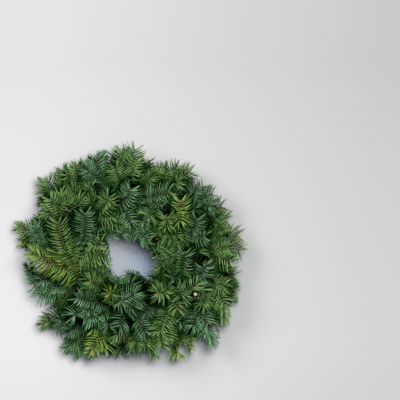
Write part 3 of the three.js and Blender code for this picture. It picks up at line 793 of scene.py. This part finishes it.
def thinness(sprays, reach):
    """How bare of the solids' needles each cell within the outline is, from 0 to 1."""
    cover = np.zeros(GROUND_CELLS)
    for spray in sprays:
        for part in COVER_PARTS:
            np.add.at(cover, ground_cells(spray.centre + (spray.tips - spray.centre) * part), 1)
    rows, columns = np.divmod(np.arange(GROUND_CELLS), GROUND_COLUMNS)
    middle = np.stack([rows, columns], 1) * GROUND_CELL + GROUND_CELL / 2 - GROUND_SPAN / 2
    way = middle - ring_middle[:2]
    bearings = np.arctan2(way[:, 1], way[:, 0])
    inside = np.hypot(way[:, 0], way[:, 1]) < np.interp(bearings, SECTORS, reach) - THIN_INSET
    return (inside & ~in_hole(middle)) * np.clip(1 - cover / FULL_COVER, 0, 1)


def has_room(line, stems, reach):
    """Whether a shoot along the line keeps within its heights and clear of all but its own stem."""
    if line[:, 2].min() < SHOOT_HEIGHTS[0] or line[:, 2].max() > SHOOT_HEIGHTS[1]:
        return False
    if in_hole(line).any() or from_core(line).min() < TAPE_RADIUS + SHOOT_STRAW_GAP:
        return False
    end = line[-1] - ring_middle
    bearing = math.atan2(end[1], end[0])
    if math.hypot(end[0], end[1]) > np.interp(bearing, SECTORS, reach) - SHOOT_INSET:
        return False
    gaps = np.linalg.norm(line[2:, None] - stems[None], axis=2)
    return gaps.min() >= SHOOT_STEM_GAP


def shoot_options(sprays, reach):
    """The side shoots that have room, with points along each and the cells it would cover."""
    stems = np.concatenate([spray.centre - spray.normal * STEM_DEPTH for spray in sprays])
    onward = np.linspace(0.2, 1, 9)[:, None, None]
    aside = np.linspace(-1, 1, 9)[None, :, None]
    options = []
    for spray in sprays:
        for centre, normal, along in zip(spray.centre, spray.normal, spray.along):
            start = centre - normal * SHOOT_SINK
            side = unit(normal * [1, 1, 0.3])
            for lift in SHOOT_LIFTS:
                way = unit(unit(along) * SHOOT_FORWARD + side * SHOOT_ASIDE + UP * lift)
                for length in SHOOT_LENGTHS:
                    line = start + way * (np.linspace(0, 1, 8) * (length + SHOOT_FREE_END))[:, None]
                    if not has_room(line, stems, reach):
                        continue
                    level = unit(np.cross(way, UP))
                    area = start + way * onward * (length + SHOOT_END_AREA) + level * aside * SHOOT_HALF_AREA
                    option = {"spray": spray, "shoot": (start, way, length, "full"), "line": line}
                    option["area"] = np.unique(ground_cells(area))
                    options.append(option)
                    break
    return options


def grow_shoots(sprays):
    """Side shoots added where the wreath, seen from above, is thin."""
    reach = outline_reach(sprays)
    options = shoot_options(sprays, reach)
    thin = np.append(thinness(sprays, reach), 0)  # the last fills up the shorter rows of areas
    most = max(len(option["area"]) for option in options)
    areas = np.full((len(options), most), GROUND_CELLS)
    for row, option in zip(areas, options):
        row[: len(option["area"])] = option["area"]
    liking = np.array([LIKED[option["spray"].tone] for option in options])
    lines = np.array([option["line"] for option in options])
    for _ in range(MOST_SHOOTS):
        gain = thin[areas].sum(1) * liking
        best = int(gain.argmax())
        if gain[best] < LEAST_GAIN:
            break
        chosen = options[best]
        chosen["spray"].extra.append(chosen["shoot"])
        thin[chosen["area"]] *= COVERED
        apart = np.linalg.norm(lines[:, :, None] - chosen["line"], axis=3).min((1, 2))
        liking *= apart > SHOOTS_APART


def cut_stem(fir, spray, canopy):
    """A stub of a cut side shoot, its pale end a little over the foliage's mean top."""
    end = np.array([*on_table(*CUT_STEM["pixel"]), 0])
    end[2] = canopy.top[canopy.cells(end[None])][0] + CUT_STEM["over"]
    # It grows from the nearest stem well under its end, and depth counts less.
    too_high = np.where(spray.points[:, 2] < end[2] - CUT_STEM["least_rise"], 1, 9)
    start = spray.points[np.argmin(np.linalg.norm((spray.points - end) * [1, 1, 0.4], axis=1) * too_high)]
    way = unit(end - start)
    radius, sides = CUT_STEM["radius"], CUT_STEM["sides"]
    stub, faces = lathe(start, way, np.linalg.norm(end - start), np.full(6, radius), sides)
    fir.add(stub, np.tile(CUT_STEM["bark"], (len(stub), 1)), faces, BARK)
    foot = end - way * CUT_STEM["face_sunk"]
    face, faces = lathe(foot, way, CUT_STEM["face_length"], radius * CUT_STEM["face_radii"], sides)
    fir.add(face, np.ones((len(face), 3)), faces, CUT)


def shoot_ends(points, core):
    """The end of each shoot of the solid, with its direction."""
    beside = {}
    for face in core:
        for k in range(3):
            beside.setdefault(face[k], set()).update((face[(k + 1) % 3], face[(k + 2) % 3]))
    for tip, around in sorted(beside.items()):
        around = sorted(around)
        size = np.linalg.norm(points[around] - points[tip], axis=1).max()
        if len(around) <= SHOOT_END_CORNERS and size < SHOOT_END_SIZE:
            yield points[tip], unit(points[tip] - points[around].mean(0))


def add_buds(fir, tip, way, rng, canopy):
    """A cluster of resinous buds: one straight on and three that lean from it."""
    side = unit(np.cross(way, BUD["askew"]))
    other = np.cross(way, side)
    start = rng.uniform(0, 2 * math.pi)
    for k in range(4):
        turn = start + k * 2 * math.pi / 3
        lean, size = BUD["middle"] if k == 0 else BUD["beside"]
        axis = unit(way + lean * (math.cos(turn) * side + math.sin(turn) * other))
        size *= rng.uniform(*BUD["size_spread"])
        radii = BUD["radius"] * size * BUD["radii"]
        body, faces = lathe(tip - way * BUD["sunk"], axis, BUD["length"] * size, radii, BUD["sides"])
        # Painted shade on buds deep in the foliage, times a random tone.
        fir.add(body, painted_light_colour(canopy.painted_light_and_tone(body)) * rng.uniform(*BUD["shade_spread"]), faces, BUDS)


# ---------------- ring and wire
def wire_centres():
    """The middle of the CAD wire's three-sided section, in order along the wire."""
    points, faces = welded("binding_wire")
    beside = [set() for _ in points]
    for a, b, c in faces:
        beside[a].update((b, c))
        beside[b].update((a, c))
        beside[c].update((a, b))
    section = np.full(len(points), -1)
    centres = []
    for n in range(len(points)):
        if section[n] >= 0:
            continue
        near = sorted(beside[n], key=lambda m: np.linalg.norm(points[m] - points[n]))[:2]
        section[[n, *near]] = len(centres)
        centres.append(points[[n, *near]].mean(0))
    joined = [set() for _ in centres]
    for n, others in enumerate(beside):
        joined[section[n]].update(section[m] for m in others if section[m] != section[n])
    order, last = [0], None
    while True:
        onward = [m for m in joined[order[-1]] if m != last and m not in order[1:]]
        last = order[-1]
        if not onward or onward[0] == 0:
            break
        order.append(onward[0])
    return np.array(centres)[order]


def rounded(centres, steps):
    """A smooth closed line through the centres."""
    t = (np.arange(steps) / steps)[None, :, None]
    a, b = np.roll(centres, 1, 0)[:, None], centres[:, None]
    c, d = np.roll(centres, -1, 0)[:, None], np.roll(centres, -2, 0)[:, None]
    line = 0.5 * (2 * b + (c - a) * t + (2 * a - 5 * b + 4 * c - d) * t**2 + (3 * b - a - 3 * c + d) * t**3)
    return line.reshape(-1, 3)


def tube(line, radius, sides):
    """A closed tube along a closed line."""
    tangent = unit(np.roll(line, -1, 0) - np.roll(line, 1, 0))
    out = unit((line - ring_middle) * [1, 1, 0])
    out = square_to(tangent, out)
    other = np.cross(tangent, out)
    turn = np.arange(sides) * 2 * math.pi / sides
    points = line[:, None] + radius * swung(turn, out[:, None], other[:, None])
    return points.reshape(-1, 3), [grid(len(line), sides, 0)]


def grid(count, sides, slip):
    """Faces of a closed grid, whose last row meets the first, slip places on."""
    i, j = np.meshgrid(np.arange(count), np.arange(sides), indexing="ij")
    i, j = i.ravel(), j.ravel()
    on = (i + 1) % count

    def at(i, j):
        return (i + slip * (j // sides)) % count * sides + j % sides

    return np.stack([at(i, j), at(on, j), at(on, j + 1), at(i, j + 1)], 1)


def wound_ring(wire):
    """Straw wound with overlapping tape, pressed in where the wire passes over it."""
    columns = TAPE_WRAPS * WRAP_STEPS
    i, j = np.meshgrid(np.arange(columns), np.arange(TAPE_SIDES), indexing="ij")
    turn = j / TAPE_SIDES * 2 * math.pi
    theta = (i + WRAP_STEPS * j / TAPE_SIDES) / columns * 2 * math.pi
    step = (i % WRAP_STEPS) / (WRAP_STEPS - 1)
    # Waves whose counts share no factor look irregular.
    straw = np.sin(theta * 23 + 1.3) * np.sin(turn * 3 + theta * 7) + 0.6 * np.sin(theta * 41 + turn * 5)
    radius = TAPE_RADIUS + TAPE_STEP * step + STRAW_BUMPS * straw
    head = np.stack([np.cos(theta), np.sin(theta), 0 * theta], -1)
    out = head * np.cos(turn)[..., None] + UP * np.sin(turn)[..., None]
    core = ring_middle + head * RING_RADIUS
    # The tape lies under the wire and rises from there on either side.
    way = wire - ring_middle
    wire_theta = np.arctan2(way[:, 1], way[:, 0])
    wire_turn = np.arctan2(way[:, 2], np.hypot(way[:, 0], way[:, 1]) - RING_RADIUS)
    wire_bed = from_core(wire) - BED_DEPTH
    for k in range(columns):
        apart = angle_between(theta[k][:, None], wire_theta) * RING_RADIUS
        around = angle_between(turn[k][:, None], wire_turn) * TAPE_RADIUS
        slope = (np.maximum(apart - BED_WIDTH, 0) / MM) ** 2 * BED_SLOPE * MM
        press = wire_bed + slope + (around / BED_LENGTH) ** 2 * MM
        radius[k] = np.minimum(radius[k], press.min(1))
    points = core + out * radius[..., None]
    points[..., 2] = np.maximum(points[..., 2], 0)
    return points.reshape(-1, 3), [grid(columns, TAPE_SIDES, WRAP_STEPS)]


# ---------------- materials
def new_material(name, roughness, specular):
    material = bpy.data.materials.new(name)
    material.use_nodes = True
    shader = material.node_tree.nodes["Principled BSDF"]
    shader.inputs["Roughness"].default_value = roughness
    shader.inputs["Specular IOR Level"].default_value = specular
    return material, material.node_tree, shader


def new_node(tree, kind, values):
    node = tree.nodes.new(kind)
    for name, value in values.items():
        node.inputs[name].default_value = value
    return node


def noise(tree, scale, detail):
    texture = new_node(tree, "ShaderNodeTexNoise", {"Scale": scale, "Detail": detail})
    place = tree.nodes.new("ShaderNodeTexCoord").outputs["Object"]
    tree.links.new(place, texture.inputs["Vector"])
    return texture.outputs["Fac"]


def ramp(tree, value, stops):
    """A colour for each value: stops are (value, colour)."""
    node = tree.nodes.new("ShaderNodeValToRGB")
    band = node.color_ramp
    for n, (at, colour) in enumerate(stops):
        stop = band.elements[n] if n < 2 else band.elements.new(at)
        stop.position = at
        stop.color = (*colour, 1)
    tree.links.new(value, node.inputs["Fac"])
    return node.outputs["Color"]


def mixed(tree, first, second, blend="MULTIPLY", part=None):
    """Two colours multiplied, or blended with the second's part for each place."""
    both = tree.nodes.new("ShaderNodeMix")
    both.data_type = "RGBA"
    both.blend_type = blend
    both.inputs["Factor"].default_value = 1
    if part:
        tree.links.new(part, both.inputs["Factor"])
    tree.links.new(first, both.inputs["A"])
    tree.links.new(second, both.inputs["B"])
    return both.outputs["Result"]


def tinted(tree, colour):
    """The colour times the mesh's own tint."""
    tint = tree.nodes.new("ShaderNodeAttribute")
    tint.attribute_name = "tint"
    return mixed(tree, colour, tint.outputs["Color"])


def spread(tree, value, low, high, start=0.3, end=0.7):
    """From low, where the value is at its start, to high at its end."""
    ends = {"From Min": start, "From Max": end, "To Min": low, "To Max": high}
    node = new_node(tree, "ShaderNodeMapRange", ends)
    tree.links.new(value, node.inputs["Value"])
    return node.outputs["Result"]


def bumped(tree, shader, value, strength, depth):
    node = new_node(tree, "ShaderNodeBump", {"Strength": strength, "Distance": depth})
    tree.links.new(value, node.inputs["Height"])
    tree.links.new(node.outputs["Normal"], shader.inputs["Normal"])


def mottled(name, gloss, mottle, stops, relief, patches=None):
    """A tinted material of mottled colour, with fine relief and, if asked, patches of other roughness.

    gloss is roughness and specular level, mottle and patches are a noise's scale and detail, and relief is
    a noise's scale and detail, strength and depth.
    """
    material, tree, shader = new_material(name, *gloss)
    shades = ramp(tree, noise(tree, *mottle), stops)
    tree.links.new(tinted(tree, shades), shader.inputs["Base Color"])
    if patches:
        tree.links.new(spread(tree, noise(tree, *patches), *ROUGHNESSES), shader.inputs["Roughness"])
    bumped(tree, shader, noise(tree, *relief[:2]), *relief[2:])
    return material


def needle_material(tone):
    dark, light, _ = TONES[tone]
    middle = [(a + b) / 2 for a, b in zip(dark, light)]
    stops = [(0.3, dark), (0.72, light), (0.5, middle)]
    return mottled(f"needles_{tone}_fir", (0.4, 0.12), (75, 3), stops, (1600, 2, 0.25, 0.0002), (700, 2))


def table_material():
    """A pale table with painted shade: greyer to the right and the back, and a darker blue grey where it
    shows in the hole.
    """
    material, tree, shader = new_material("pale_table", 0.85, 0.2)
    place = tree.nodes.new("ShaderNodeTexCoord").outputs["Object"]
    across = tree.nodes.new("ShaderNodeSeparateXYZ")
    tree.links.new(place, across.inputs["Vector"])
    # Painted shade: greyer to the right and the back.
    wide = spread(tree, across.outputs["X"], 0, 1, *TABLE_SPAN)
    deep = spread(tree, across.outputs["Y"], 1, TABLE_BACK, *TABLE_DEPTH)
    open_ground = mixed(tree, ramp(tree, wide, TABLE_SHADES), deep)
    # Painted shade where the table shows in the hole.
    narrow = spread(tree, across.outputs["X"], 0, 1, *HOLE_SPAN)
    hole_painted_shade = ramp(tree, narrow, HOLE_PAINTED_SHADES)
    apart = tree.nodes.new("ShaderNodeVectorMath")
    apart.operation = "DISTANCE"
    tree.links.new(place, apart.inputs[0])
    apart.inputs[1].default_value = ring_middle
    hole_part = spread(tree, apart.outputs["Value"], 1, 0, *HOLE_EDGE)
    ground = mixed(tree, open_ground, hole_painted_shade, "MIX", hole_part)
    tree.links.new(ground, shader.inputs["Base Color"])
    bumped(tree, shader, noise(tree, 400, 3), 0.05, 0.0002)
    return material


# ---------------- the wreath
needles = {tone: needle_material(tone) for tone in TONES}
bark_material = mottled(
    "young_bark",
    gloss=(0.7, 0.3),
    mottle=(260, 5),
    stops=[(0.3, (0.45, 0.42, 0.4)), (0.7, (1.25, 1.1, 0.9))],
    relief=(900, 5, 0.6, 0.0006),
)
bud_material = mottled(
    "resinous_bud",
    gloss=(0.35, 0.6),
    mottle=(500, 4),
    stops=[(0.3, (0.11, 0.07, 0.022)), (0.7, (0.27, 0.18, 0.06))],
    relief=(1300, 3, 0.5, 0.0004),
)
cut_material = mottled(
    "cut_wood",
    gloss=(0.6, 0.3),
    mottle=(900, 4),
    stops=[(0.3, (0.34, 0.32, 0.14)), (0.7, (0.66, 0.61, 0.34))],
    relief=(2500, 3, 0.4, 0.0002),
)
wire_material = mottled(
    "lacquered_wire",
    gloss=(0.35, 0.6),
    mottle=(400, 4),
    stops=[(0.35, (0.012, 0.045, 0.022)), (0.65, (0.035, 0.095, 0.045))],
    relief=(2000, 2, 0.2, 0.0001),
    patches=(900, 2),
)
tape_material = mottled(
    "floral_tape",
    gloss=(0.75, 0.25),
    mottle=(130, 5),
    stops=[(0.3, (0.006, 0.016, 0.008)), (0.7, (0.022, 0.052, 0.022))],
    relief=(1100, 4, 0.5, 0.0005),
)

names = sorted(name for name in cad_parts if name.startswith("spray_"))
sprays = [Spray(name, number) for number, name in enumerate(names)]
place_shoots(sprays)
grow_shoots(sprays)
for spray in sprays:
    spray.needles = all_needles(spray)
canopy = Canopy(sprays)
for spray in sprays:
    dress(spray, canopy)

line = rounded(wire_centres(), WIRE_STEPS)
shapes = {
    "binding_wire": ("wire", tube(line, WIRE_RADIUS, WIRE_SIDES), wire_material, 60),
    "straw_ring": ("wound_ring", wound_ring(line), tape_material, 70),
}
for node, (name, (points, faces), material, sharp) in shapes.items():
    shape = Gather()
    shape.add(points, np.ones((len(points), 3)), faces, 0)
    settle(shape.piece(name, [material], sharp), node)


# ---------------- table, lights and camera
def area_light(name, place, size, watts):
    """A lamp aimed at the wreath's middle."""
    data = bpy.data.lights.new(name, "AREA")
    data.size = size
    data.energy = watts
    data.color = LAMP_COLOUR
    lamp = new_object(name, data)
    lamp.location = place
    lamp.visible_camera = False
    lamp.rotation_euler = (-Vector(place)).to_track_quat("-Z", "Y").to_euler()


bpy.ops.mesh.primitive_plane_add(size=TABLE_SIZE, location=(0, 0, 0))
table = bpy.context.object
table.name = "table"
table.data.materials.append(table_material())

for name, settings in LAMPS.items():
    area_light(name, *settings)

world = bpy.data.worlds.new("studio")
world.use_nodes = True
sky = world.node_tree.nodes["Background"]
sky.inputs["Color"].default_value = SKY_COLOUR
sky.inputs["Strength"].default_value = SKY_STRENGTH
bpy.context.scene.world = world
bpy.context.scene.view_settings.view_transform = "Standard"

camera = bpy.data.cameras.new("camera")
camera.sensor_width = SENSOR
camera.lens = LENS
camera.clip_end = 20
spot = new_object("camera", camera)
spot.location = (*PICTURE_CENTRE, SEEN_HEIGHT + PICTURE_PIXELS * PIXEL * LENS / SENSOR)
bpy.context.scene.camera = spot

bpy.context.view_layer.update()
